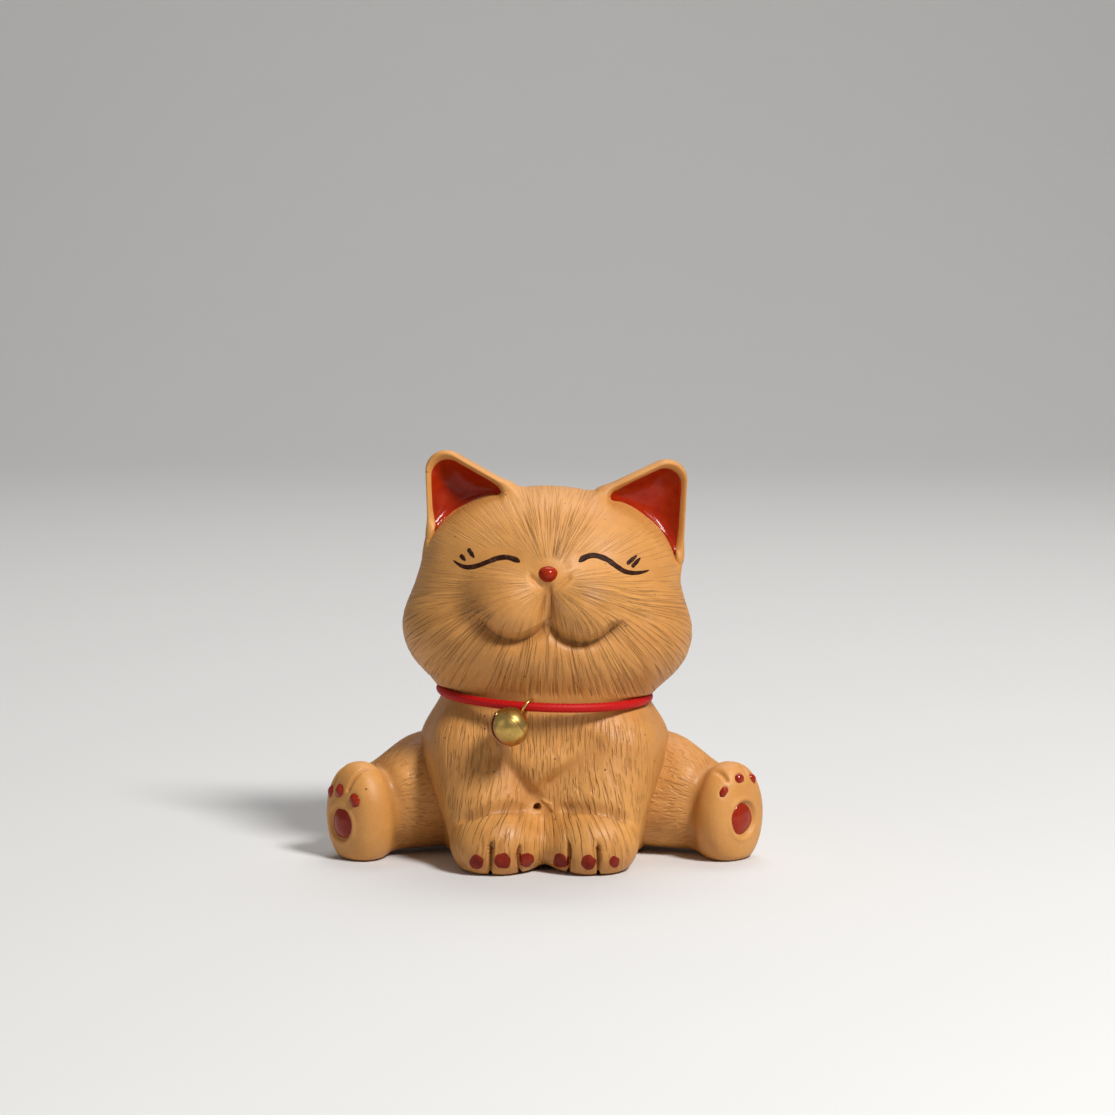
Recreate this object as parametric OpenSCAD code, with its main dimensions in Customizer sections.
// Tea pet: a sitting, smiling clay cat with a cord collar and a small jingle bell.
// Millimetres. The cat faces -Y, up is +Z, and its own left side is +X.
// The origin is on the table, under the middle of the neck.

/* [Head] */
// Half width of the skull
skull_half_width = 20.8; // [20:0.1:21.4]
// Half depth of the skull, front to back
skull_half_depth = 17; // [16.2:0.1:17.6]
// Half height of the skull
skull_half_height = 14; // [13.2:0.1:14.6]
// Height of the skull's centre above the neck seam
skull_rise = 19.6; // [19:0.1:20.2]
// Half width of one cheek
cheek_half_width = 15.6; // [14.8:0.1:16.2]
// Height of the cheeks' centre above the neck seam
cheek_rise = 10.6; // [10.2:0.1:11]
// Sideways lean of the head and collar, in degrees
head_lean = 2.4; // [0:0.2:3]

/* [Face] */
// Half width of one muzzle lobe
lobe_half_width = 6.2; // [5.8:0.1:6.5]
// Half height of one muzzle lobe
lobe_half_height = 5.7; // [5.4:0.1:6]
// Height of the muzzle's centre above the neck seam
lobe_rise = 15.9; // [15.5:0.1:16.3]
// Radius of the smile groove's round bottom
smile_groove_r = 0.6; // [0.4:0.05:0.8]
// Half width of the nose
nose_half_width = 1.55; // [1.3:0.05:1.8]
// Height of the nose above the neck seam
nose_rise = 21.5; // [21:0.1:22]
// Thickness of the painted eye line
eye_line_d = 0.9; // [0.7:0.05:1.1]
// Height of the eye line's arched inner half above the neck seam
eye_rise = 23.9; // [23.4:0.1:24.4]
// Drop from the arch of the eye line to its outer hollow
eye_drop = 2.65; // [2.2:0.05:3]

/* [Ears] */
// Height of an ear's middle above the neck seam
ear_rise = 29; // [28.6:0.1:29.4]
// Distance of an ear's middle from the middle of the head
ear_spread = 15.6; // [15.2:0.1:16]
// Turn of each ear's face away from the front, in degrees
ear_turn = 14; // [10:1:18]
// Radius of an ear's rounded corners
ear_corner_r = 3.3; // [3:0.1:3.6]
// Thickness of the glossy coat inside an ear
ear_coat = 0.35; // [0.3:0.05:0.5]

/* [Torso] */
// Half width of the belly
belly_half_width = 20.3; // [19.6:0.1:20.8]
// Half depth of the belly, front to back
belly_half_depth = 18.5; // [18:0.1:19]
// Half width of the shoulders
shoulder_half_width = 19.6; // [19:0.1:20]
// Height of the neck seam above the table
neck_z = 26.6; // [26.2:0.1:27]
// Thickness of the clay under the hollow
floor_wall = 3.5; // [3:0.1:4]
// Diameter of the air vent between the front legs
vent_d = 1; // [0.8:0.1:1.4]

/* [Legs] */
// Half width of one front paw
paw_half_width = 7.4; // [7.1:0.1:7.7]
// Width of the cuts between the toes
toe_cut_w = 0.9; // [0.6:0.1:1.2]
// Half width of one claw dab
claw_half_width = 1.25; // [1:0.05:1.5]
// Distance of a hind foot's middle from the middle of the body
foot_spread = 29.9; // [29.4:0.1:30.4]
// Half height of a hind foot
foot_half_height = 8.7; // [8.4:0.1:9]
// Turn of the soles away from the front, in degrees
sole_turn = 48; // [44:1:52]
// Half width of one toe pad
toe_pad_half_width = 1.1; // [0.9:0.05:1.3]
// Half width of one sole pad
sole_pad_half_width = 2.3; // [2:0.05:2.5]
// Radius of the tail
tail_r = 3; // [2.6:0.1:3.2]

/* [Collar] */
// Diameter of the collar cord
cord_d = 1.5; // [1.3:0.05:1.6]
// Radius of the ring that the cord's centre line makes
collar_r = 16.95; // [16.8:0.05:17.1]
// Diameter of the knot that closes the cord
knot_d = 2.6; // [2.4:0.1:2.8]
// Room around the cord in its groove
cord_room = 0.15; // [0.1:0.05:0.2]

/* [Bell] */
// Diameter of the bell
bell_d = 6.2; // [6:0.1:6.4]
// Thickness of the bell's sheet brass
bell_wall = 0.3; // [0.25:0.05:0.35]
// Width of the slot in the bell
slot_w = 0.8; // [0.6:0.1:1]
// Turn of the slot about the bell's axis, in degrees
slot_turn = 27; // [0:1:40]
// Diameter of the loop's wire
loop_wire_d = 0.44; // [0.4:0.02:0.5]
// Diameter of the pellet
pellet_d = 2.2; // [2:0.1:2.4]
// Place of the bell around the neck, in degrees from the front
bell_turn = -9.2; // [-11:0.2:-7]

/* [Hidden] */

clay_tone = [0.77, 0.56, 0.31];
coat_tone = [0.50, 0.11, 0.05];
line_tone = [0.20, 0.11, 0.08];
cord_tone = [0.72, 0.06, 0.08];
brass_tone = [0.68, 0.58, 0.28];

// Facets of the modelled skins, and of the round pieces
skin_rings = 26;
skin_sectors = 40;
leg_rings = 16;
leg_sectors = 24;
$fn = 64;

// The walk onto a skin: where it starts, and how many steps it takes
walk_reach = 48;
walk_steps = 16;

// Larger than the object, for cutting away half a space
far = 120;

// Neck: the clay is a little flatter than the ring of cord and sits behind its middle
neck_half_width = 16.3;
neck_half_depth = 15.4;
neck_back = 0.7;
neck_half_height = 5;
neck_edge_r = 3;
hollow_neck_r = 7;

// Skull, cheeks and nape, in the head's own frame
skull_back = 1;
cheek_spread = 8;
cheek_back = -0.3;
cheek_half_depth = 16.4;
cheek_half_height = 11.6;
nape_at = [0, 3, 11];
nape_half = [16, 14.6, 12];
skull_blend = 4;
head_core = [0, 0, 14];
head_hollow_half = [14, 12, 9.5];
head_hollow_drop = 1.6;
head_bore_h = 15.6;

// Muzzle
lobe_spread = 5.7;
lobe_front = -14.6;
lobe_half_depth = 5.6;
lobe_blend = 2.4;
bridge_up = 4.1;
bridge_at = [0, -14, lobe_rise + bridge_up];
bridge_half = [5, 3.5, 5];
chin_drop = 7.1;
chin_at = [0, -13.2, lobe_rise - chin_drop];
chin_half = [8, 4.2, 4.5];
face_blend = 5;
nose_half_height = 0.84 * nose_half_width;
nose_half_depth = 0.7 * nose_half_width;
smile_start = -155;
smile_sweep = 150;

// Eye lines: an arch and a hollow of one radius that meet smoothly, measured along the face
eye_inner_x = 4.7;
eye_outer_x = 15.6;
eye_length = 12.7;
eye_arch_s = 2.7;
eye_span = 7.6;
eye_arc_r = (eye_span * eye_span + eye_drop * eye_drop) / (4 * eye_drop);
eye_tip_share = 0.35;
eye_stations = 18;
eye_ring_points = 8;

// Coats stand this far above the clay and go as deep into it
coat_half = 0.35;

// Ears, in the plane of their face
ear_y = 0.5;
ear_corners = [[2.2, -5.3], [2.4, 6.4], [-6.6, 2.3]];
ear_middle = (ear_corners[0] + ear_corners[1] + ear_corners[2]) / 3;
ear_corner_steps = 7;
// Rings of an ear from its back over the rim into the dish: share of the outline, then height
ear_back_rings = [[0.3, -5.6], [0.7, -4.6], [0.93, -2.6], [1, -0.6], [0.99, 0.8], [0.94, 1.4]];
ear_dish_rings = [[0.86, 1.1], [0.77, 0.2], [0.5, -1.6], [0.22, -2.4]];

// Belly and shoulders
belly_at = [0, 4.5, 11.5];
belly_half_height = 19;
shoulders_at = [0, 2.2, 18];
shoulders_half_depth = 16.3;
shoulders_half_height = 11;
trunk_blend = 5;
torso_core = [0, -1, 12];
torso_hollow_half = [13.5, 11.5, 8.5];
torso_hollow_back = 3.5;
torso_bore_h = 13;
vent_depth = 12;

// Front legs and paws
shoulder_at = [10.6, -6.5, 17.5];
shoulder_r = 8;
wrist_at = [8.3, -12, 5];
wrist_r = 6.9;
leg_blend = 3;
paw_at = [7.5, -14.6, 4.2];
paw_half_depth = 7.4;
paw_half_height = 6.2;
paw_blend = 1.2;
claw_xs = [2.65, 6.8, 11.05];
claw_z = 2.5;
toe_cut_xs = [3.75, 8.7];
toe_cut_height = 6;
toe_cut_depth = 1.3;
// Cuts start this far outside the clay
cut_lead = 1;
vent_at = [-1.05, 10];

// Hind legs: each has a tapered root that is seated on an upright flat of the torso
hip_at = [11.7, 5.5, 11.1];
hip_r = 10.8;
ankle_at = [26, 0, 7.7];
ankle_r = 7.4;
hip_flat = 17.2;
hind_core = [24, 0.5, 8];
foot_at = [foot_spread, -5, 7.2];
foot_half_depth = 6.6;
foot_half_width = 6.4;
foot_edge_r = 3;
foot_blend = 2;
sole_out = [sin(sole_turn), -cos(sole_turn), 0];
sole_side = [cos(sole_turn), sin(sole_turn), 0];
sole_flat = 4;
toe_pad_spots = [[-4, 4.4], [-0.4, 5.8], [3.4, 5]];
sole_pad_spot = [0.4, -1];
sole_pad_stretch = 1.1;

// Tail, lying round the back of the body, with its inner side let into the torso
tail_out = 1.5;
tail_ring_r = belly_half_depth + tail_out;
tail_centre_y = 3;
tail_start = 68;
tail_sweep = 66;
tail_lift = 0.2;
tail_end_power = 6;
tail_stations = 22;
tail_ring_points = 24;

// Collar: the knot's length round the ring, and recesses that let the loop and the knot pass
knot_angle = 9;
recess_half_angle = 36;

// Bell, its loop and its pellet
bell_r = bell_d / 2;
bell_way = [-2.2, -2.6, -2.9];
bell_hang = bell_way / norm(bell_way);
loop_room = 0.5;
loop_slack = 0.15;
loop_r = cord_d / 2 + loop_room + loop_wire_d / 2;
loop_sink = 0.2;
loop_rise = bell_r + loop_r - loop_sink;
// The bell hangs on the cord, so the cord lies in the far half of the loop
bell_drop = loop_rise + loop_slack;
rim_w = 0.5;
rim_out = 0.2;
slot_half_angle = 62;
slot_end_r = 0.75 * slot_w;
pellet_room = 0.1;
pellet_off = bell_r - bell_wall - pellet_d / 2 - pellet_room;

// Distances to simple solids, negative inside

function over(a, b) = [a.x / b.x, a.y / b.y, a.z / b.z];

function ellipsoid_gap(p, c, r) =
    let (a = over(p - c, r), k = norm(a))
    k * (k - 1) / max(norm(over(a, r)), 0.000001);

function bar_gap(p, a, b, ra, rb) =
    let (u = b - a, t = min(max((p - a) * u / (u * u), 0), 1))
    norm(p - a - t * u) - ra - (rb - ra) * t;

function soft_min(a, b, k) =
    let (h = max(k - abs(a - b), 0) / k)
    min(a, b) - h * h * k / 4;

function soft_max(a, b, k) = -soft_min(-a, -b, k);

function fold(p) = [abs(p.x), p.y, p.z];

// The clay forms, as soft unions of those solids

function neck_gap(p) =
    let (ring = norm([p.x / neck_half_width, (p.y - neck_back) / neck_half_depth]) - 1)
    soft_max(ring * neck_half_depth, abs(p.z) - neck_half_height, neck_edge_r);

// In the head's own frame, whose origin is the middle of the neck seam
function head_gap(p) =
    let (m = fold(p),
         skull = ellipsoid_gap(m, [0, skull_back, skull_rise],
                               [skull_half_width, skull_half_depth, skull_half_height]),
         cheek = ellipsoid_gap(m, [cheek_spread, cheek_back, cheek_rise],
                               [cheek_half_width, cheek_half_depth, cheek_half_height]),
         nape = ellipsoid_gap(m, nape_at, nape_half),
         bridge = ellipsoid_gap(m, bridge_at, bridge_half),
         chin = ellipsoid_gap(m, chin_at, chin_half),
         lobe = ellipsoid_gap(m, [lobe_spread, lobe_front, lobe_rise],
                              [lobe_half_width, lobe_half_depth, lobe_half_height]),
         ball = soft_min(soft_min(skull, cheek, skull_blend), nape, skull_blend),
         round = soft_min(ball, neck_gap(m), skull_blend),
         face = soft_min(soft_min(round, bridge, face_blend), chin, face_blend))
    soft_min(face, lobe, lobe_blend);

function lean(p) =
    let (v = p - [0, 0, neck_z])
    [v.x * cos(head_lean) - v.z * sin(head_lean), v.y,
     v.x * sin(head_lean) + v.z * cos(head_lean)];

function leaned(q) =
    [q.x * cos(head_lean) + q.z * sin(head_lean), q.y,
     q.z * cos(head_lean) - q.x * sin(head_lean)] + [0, 0, neck_z];

function torso_gap(p) =
    let (m = fold(p),
         belly = ellipsoid_gap(m, belly_at,
                               [belly_half_width, belly_half_depth, belly_half_height]),
         shoulders = ellipsoid_gap(m, shoulders_at,
                                   [shoulder_half_width, shoulders_half_depth,
                                    shoulders_half_height]),
         leg = bar_gap(m, shoulder_at, wrist_at, shoulder_r, wrist_r),
         paw = ellipsoid_gap(m, paw_at, [paw_half_width, paw_half_depth, paw_half_height]),
         trunk = soft_min(soft_min(belly, shoulders, trunk_blend), neck_gap(lean(p)), leg_blend))
    soft_min(soft_min(trunk, leg, leg_blend), paw, paw_blend);

function hind_leg_gap(p) =
    let (v = p - foot_at,
         w = [v * sole_out, v * sole_side, v.z],
         ball = ellipsoid_gap(w, [0, 0, 0], [foot_half_depth, foot_half_width, foot_half_height]),
         foot = soft_max(ball, w.x - sole_flat, foot_edge_r))
    soft_min(bar_gap(p, hip_at, ankle_at, hip_r, ankle_r), foot, foot_blend);

// Skins: points where a form's gap is zero, found by walking in from outside

function walk_in(gap, from, dir, t, steps) =
    steps == 0 ? t : walk_in(gap, from, dir, t - gap(from + t * dir), steps - 1);

function skin_point(gap, from, dir) =
    from + walk_in(gap, from, dir, walk_reach, walk_steps) * dir;

function slope(gap, p, d = 0.05) =
    let (g = [gap(p + [d, 0, 0]) - gap(p - [d, 0, 0]),
              gap(p + [0, d, 0]) - gap(p - [0, d, 0]),
              gap(p + [0, 0, d]) - gap(p - [0, 0, d])])
    g / norm(g);

function front_point(gap, x, z) = skin_point(gap, [x, 0, z], [0, -1, 0]);

// A closed skin around a centre: rings run from a pole at the front to one at the back
module skin(gap, centre, rings, sectors) {
    poles = [skin_point(gap, centre, [0, -1, 0]), skin_point(gap, centre, [0, 1, 0])];
    sides = [for (i = [1:rings - 1], j = [0:sectors - 1])
        let (a = 180 * i / rings, b = 360 * j / sectors)
        skin_point(gap, centre, [sin(a) * cos(b), -cos(a), sin(a) * sin(b)])];
    last = rings - 2;
    function at(i, j) = 2 + i * sectors + (j % sectors);
    front_fan = [for (j = [0:sectors - 1]) [0, at(0, j), at(0, j + 1)]];
    back_fan = [for (j = [0:sectors - 1]) [1, at(last, j + 1), at(last, j)]];
    bands = [for (i = [0:last - 1], j = [0:sectors - 1], k = [0, 1])
        k == 0 ? [at(i, j), at(i + 1, j), at(i + 1, j + 1)]
               : [at(i, j), at(i + 1, j + 1), at(i, j + 1)]];
    polyhedron(concat(poles, sides), concat(front_fan, back_fan, bands));
}

// A closed loft through rings of the same number of points, with flat ends
module loft(rings) {
    n = len(rings[0]);
    last = len(rings) - 1;
    first_end = [[for (j = [0:n - 1]) j]];
    last_end = [[for (j = [n - 1:-1:0]) last * n + j]];
    bands = [for (i = [0:last - 1], j = [0:n - 1], k = [0, 1])
        let (a = i * n + j, b = i * n + (j + 1) % n)
        k == 0 ? [a, a + n, b + n] : [a, b + n, b]];
    polyhedron([for (r = rings) each r], concat(first_end, bands, last_end));
}

// Placing

module on_neck() {
    translate([0, 0, neck_z])
        rotate([0, head_lean, 0])
            children();
}

module on_side(side) {
    mirror([side < 0 ? 1 : 0, 0, 0])
        children();
}

module facing(p, n) {
    translate(p)
        rotate([0, acos(n.z), atan2(n.y, n.x)])
            children();
}

module dab(p, n, half_width, stretch = 1) {
    facing(p, n)
        scale([half_width * stretch, half_width, coat_half])
            sphere(1);
}

module below(z) {
    translate([-far / 2, -far / 2, z - far])
        cube(far);
}

// Ears

function ear_edge_normal(i) =
    let (e = ear_corners[(i + 1) % 3] - ear_corners[i])
    atan2(-e.x, e.y);

function ear_outline() = [
    for (i = [0:2], k = [0:ear_corner_steps])
        let (a = ear_edge_normal((i + 2) % 3),
             turn = (ear_edge_normal(i) - a + 720) % 360,
             b = a + turn * k / ear_corner_steps)
        ear_corners[i] + ear_corner_r * [cos(b), sin(b)]];

function ear_ring(share, height) = [
    for (p = ear_outline())
        let (q = ear_middle + share * (p - ear_middle))
        [q.x, q.y, height]];

module ear_place(side) {
    on_neck()
        on_side(side)
            translate([ear_spread, ear_y, ear_rise])
                rotate([0, 0, ear_turn])
                    rotate([90, 0, 0])
                        children();
}

module ear(side) {
    color(clay_tone)
        ear_place(side)
            loft([for (r = concat(ear_back_rings, ear_dish_rings)) ear_ring(r[0], r[1])]);
}

module ear_lining(side) {
    under = [for (r = ear_dish_rings) ear_ring(r[0], r[1])];
    over_it = [for (i = [len(ear_dish_rings) - 1:-1:0])
        ear_ring(ear_dish_rings[i][0], ear_dish_rings[i][1] + ear_coat)];
    color(coat_tone)
        ear_place(side)
            closed_band(concat(under, over_it));
}

// Like a loft, but its last ring faces its first: the flat ends are the two middle rings
module closed_band(rings) {
    n = len(rings[0]);
    count = len(rings);
    mid = count / 2 - 1;
    ends = [[for (j = [n - 1:-1:0]) mid * n + j], [for (j = [0:n - 1]) (mid + 1) * n + j]];
    bands = [for (i = [0:count - 1], j = [0:n - 1], k = [0, 1])
        let (a = i * n, b = ((i + 1) % count) * n, j2 = (j + 1) % n)
        if (i != mid)
            k == 0 ? [a + j, b + j, b + j2] : [a + j, b + j2, a + j2]];
    polyhedron([for (r = rings) each r], concat(ends, bands));
}

// Face

module nose() {
    p = front_point(function(q) head_gap(q), 0, nose_rise);
    color(coat_tone)
        on_neck()
            facing(p, slope(function(q) head_gap(q), p))
                scale([nose_half_height, nose_half_width, nose_half_depth])
                    sphere(1);
}

function eye_height(s) =
    let (u = s - eye_arch_s, v = u - eye_span)
    u < eye_span / 2 ? eye_rise - eye_arc_r + sqrt(eye_arc_r * eye_arc_r - u * u)
                     : eye_rise - eye_drop + eye_arc_r - sqrt(eye_arc_r * eye_arc_r - v * v);

function eye_point(s) =
    front_point(function(q) head_gap(q),
                eye_inner_x + (eye_outer_x - eye_inner_x) * s / eye_length, eye_height(s));

// A thin round bead along the line, half sunk in the clay and pointed at both ends
function eye_ring(k) =
    let (s = eye_length * k / eye_stations,
         p = eye_point(s),
         along = eye_point(s + 0.1) - eye_point(s - 0.1),
         t = along / norm(along),
         n = slope(function(q) head_gap(q), p),
         b = cross(t, n),
         body = sqrt(sin(180 * k / eye_stations)),
         r = eye_line_d / 2 * (eye_tip_share + (1 - eye_tip_share) * body))
    [for (j = [0:eye_ring_points - 1])
        let (a = 360 * j / eye_ring_points)
        p + r * (cos(a) * n + sin(a) * b)];

module eye_line(side) {
    color(line_tone)
        on_neck()
            on_side(side)
                loft([for (k = [0:eye_stations]) eye_ring(k)]);
}

module smile_groove() {
    y = front_point(function(q) head_gap(q), lobe_spread, lobe_rise - lobe_half_height).y;
    for (side = [-1, 1])
        on_side(side)
            translate([lobe_spread, y, lobe_rise])
                rotate([90, 0, 0])
                    rotate([0, 0, smile_start])
                        rotate_extrude(angle = smile_sweep)
                            translate([lobe_half_height, 0])
                                circle(smile_groove_r, $fn = 32);
}

// Clay pieces

module neck_groove() {
    rotate_extrude()
        translate([collar_r, 0])
            circle(cord_d / 2 + cord_room);
    for (back = [0, 180])
        rotate([0, 0, back - 90 - recess_half_angle])
            rotate_extrude(angle = 2 * recess_half_angle)
                translate([collar_r, 0])
                    circle(loop_r + loop_wire_d / 2 + cord_room);
}

module neck_bore(height) {
    cylinder(r = hollow_neck_r, h = 2 * height, center = true);
}

module head() {
    color(clay_tone)
        difference() {
            on_neck()
                difference() {
                    skin(function(p) head_gap(p), head_core, skin_rings, skin_sectors);
                    below(0);
                    neck_groove();
                    neck_bore(head_bore_h);
                    translate([0, skull_back, skull_rise - head_hollow_drop])
                        scale(head_hollow_half)
                            sphere(1);
                    smile_groove();
                }
            for (side = [-1, 1]) {
                ear(side);
                ear_lining(side);
                eye_line(side);
            }
            nose();
        }
}

module torso_hollow() {
    translate([0, torso_hollow_back, floor_wall + torso_hollow_half.z])
        scale(torso_hollow_half)
            sphere(1);
    on_neck()
        neck_bore(torso_bore_h);
    vent = front_point(function(p) torso_gap(p), vent_at.x, vent_at.y);
    translate([vent.x, vent.y - cut_lead, vent.z])
        rotate([-90, 0, 0])
            cylinder(d = vent_d, h = vent_depth);
}

module toe_cuts() {
    for (side = [-1, 1], x = toe_cut_xs) {
        p = front_point(function(q) torso_gap(q), x, claw_z);
        on_side(side)
            translate([x, p.y - cut_lead, -cut_lead])
                linear_extrude(toe_cut_height + cut_lead)
                    polygon([[-toe_cut_w, 0], [toe_cut_w, 0], [0, toe_cut_depth + cut_lead]]);
    }
}

module torso() {
    color(clay_tone)
        difference() {
            skin(function(p) torso_gap(p), torso_core, skin_rings, skin_sectors);
            below(0);
            on_neck()
                mirror([0, 0, 1])
                    below(0);
            on_neck()
                neck_groove();
            torso_hollow();
            toe_cuts();
            for (side = [-1, 1]) {
                paw_claws(side);
                hip_socket(side);
            }
            tail_seat();
        }
}

module inside_hip_flat() {
    translate([hip_flat - far, -far / 2, -far / 2])
        cube(far);
}

// The seat of a hind leg's tapered root, with a flat floor
module hip_socket(side) {
    run = ankle_at - hip_at;
    on_side(side)
        difference() {
            facing(hip_at, run / norm(run))
                cylinder(r1 = hip_r, r2 = ankle_r, h = norm(run));
            inside_hip_flat();
        }
}

module hind_leg(side) {
    color(clay_tone)
        difference() {
            on_side(side)
                difference() {
                    skin(function(p) hind_leg_gap(p), hind_core, leg_rings, leg_sectors);
                    inside_hip_flat();
                    below(0);
                }
            toe_pads(side);
            sole_pad(side);
        }
}

// The tail is a round bar bent to a ring, with rounded ends
function tail_ring(k) =
    let (share = (1 - cos(180 * (k + 0.5) / tail_stations)) / 2,
         a = tail_start + share * tail_sweep,
         out = [cos(a), sin(a), 0],
         r = tail_r * sqrt(1 - pow(abs(2 * share - 1), tail_end_power)))
    [for (j = [0:tail_ring_points - 1])
        let (b = 360 * j / tail_ring_points)
        (tail_ring_r + r * cos(b)) * out - [0, 0, r * sin(b)]];

module tail_place() {
    translate([0, tail_centre_y, tail_r + tail_lift])
        children();
}

module tail_seat() {
    tail_place()
        rotate([0, 0, tail_start])
            rotate_extrude(angle = tail_sweep)
                translate([tail_ring_r, 0])
                    circle(tail_r);
}

module tail() {
    color(clay_tone)
        tail_place()
            loft([for (k = [0:tail_stations - 1]) tail_ring(k)]);
}

// Coats on the paws and feet

module paw_claws(side) {
    color(coat_tone)
        for (x = claw_xs) {
            p = front_point(function(q) torso_gap(q), x, claw_z);
            on_side(side)
                dab(p, slope(function(q) torso_gap(q), p), claw_half_width);
        }
}

function sole_point(spot) =
    skin_point(function(q) hind_leg_gap(q),
               foot_at + spot[0] * sole_side + [0, 0, spot[1]], sole_out);

module toe_pads(side) {
    color(coat_tone)
        for (spot = toe_pad_spots) {
            p = sole_point(spot);
            on_side(side)
                dab(p, slope(function(q) hind_leg_gap(q), p), toe_pad_half_width);
        }
}

module sole_pad(side) {
    p = sole_point(sole_pad_spot);
    color(coat_tone)
        on_side(side)
            dab(p, slope(function(q) hind_leg_gap(q), p), sole_pad_half_width, sole_pad_stretch);
}

// Collar

module collar_cord() {
    color(cord_tone)
        on_neck()
            rotate_extrude()
                translate([collar_r, 0])
                    circle(d = cord_d);
}

// The knot is a barrel of turns that lies close round the cord
module collar_knot() {
    color(cord_tone)
        on_neck()
            rotate([0, 0, 90 - knot_angle / 2])
                rotate_extrude(angle = knot_angle)
                    translate([collar_r, 0])
                        difference() {
                            circle(d = knot_d);
                            circle(d = cord_d);
                        }
}

// Bell: its own axis runs from the loop, at the top, down to the middle of the slot

function bell_centre() =
    let (p = [0, -collar_r, 0] + bell_drop * bell_hang)
    [p.x * cos(bell_turn) - p.y * sin(bell_turn), p.x * sin(bell_turn) + p.y * cos(bell_turn), p.z];

module bell_place() {
    way = atan2(-bell_hang.y, -bell_hang.x);
    on_neck()
        translate(bell_centre())
            rotate([0, 0, bell_turn])
                rotate([0, acos(-bell_hang.z), way])
                    rotate([0, 0, -way])
                        children();
}

module bell_half(up) {
    intersection() {
        union() {
            sphere(bell_r);
            cylinder(r = bell_r + rim_out, h = rim_w, center = true);
        }
        translate([-far / 2, -far / 2, up ? 0 : -far])
            cube(far);
    }
}

module bell_upper_shell() {
    color(brass_tone)
        bell_place()
            difference() {
                bell_half(true);
                sphere(bell_r - bell_wall);
            }
}

module bell_lower_shell() {
    color(brass_tone)
        bell_place()
            difference() {
                bell_half(false);
                sphere(bell_r - bell_wall);
                rotate([0, 0, slot_turn])
                    slot_cut();
            }
}

module slot_cut() {
    translate([-bell_r, -slot_w / 2, -2 * bell_r])
        cube([2 * bell_r, slot_w, 2 * bell_r - bell_r * cos(slot_half_angle)]);
    for (side = [-1, 1])
        rotate([0, side * slot_half_angle, 0])
            mirror([0, 0, 1])
                cylinder(r = slot_end_r, h = 2 * bell_r);
}

module bell_loop() {
    color(brass_tone)
        bell_place()
            difference() {
                translate([0, 0, loop_rise])
                    rotate([0, 90, 0])
                        rotate_extrude()
                            translate([loop_r, 0])
                                circle(d = loop_wire_d);
                sphere(bell_r);
            }
}

// The pellet lies at the lowest place inside the bell
module bell_pellet() {
    color(brass_tone)
        translate(leaned(bell_centre()) - [0, 0, pellet_off])
            sphere(d = pellet_d);
}

torso();
head();
ear(1);  // left_ear
ear(-1);  // right_ear
hind_leg(1);  // left_hind_leg
hind_leg(-1);  // right_hind_leg
tail();
ear_lining(1);  // left_ear_lining
ear_lining(-1);  // right_ear_lining
nose();
eye_line(1);  // left_eye_line
eye_line(-1);  // right_eye_line
paw_claws(1);  // left_paw_claws
paw_claws(-1);  // right_paw_claws
toe_pads(1);  // left_toe_pads
toe_pads(-1);  // right_toe_pads
sole_pad(1);  // left_sole_pad
sole_pad(-1);  // right_sole_pad
collar_cord();
collar_knot();
bell_upper_shell();
bell_lower_shell();
bell_loop();
bell_pellet();
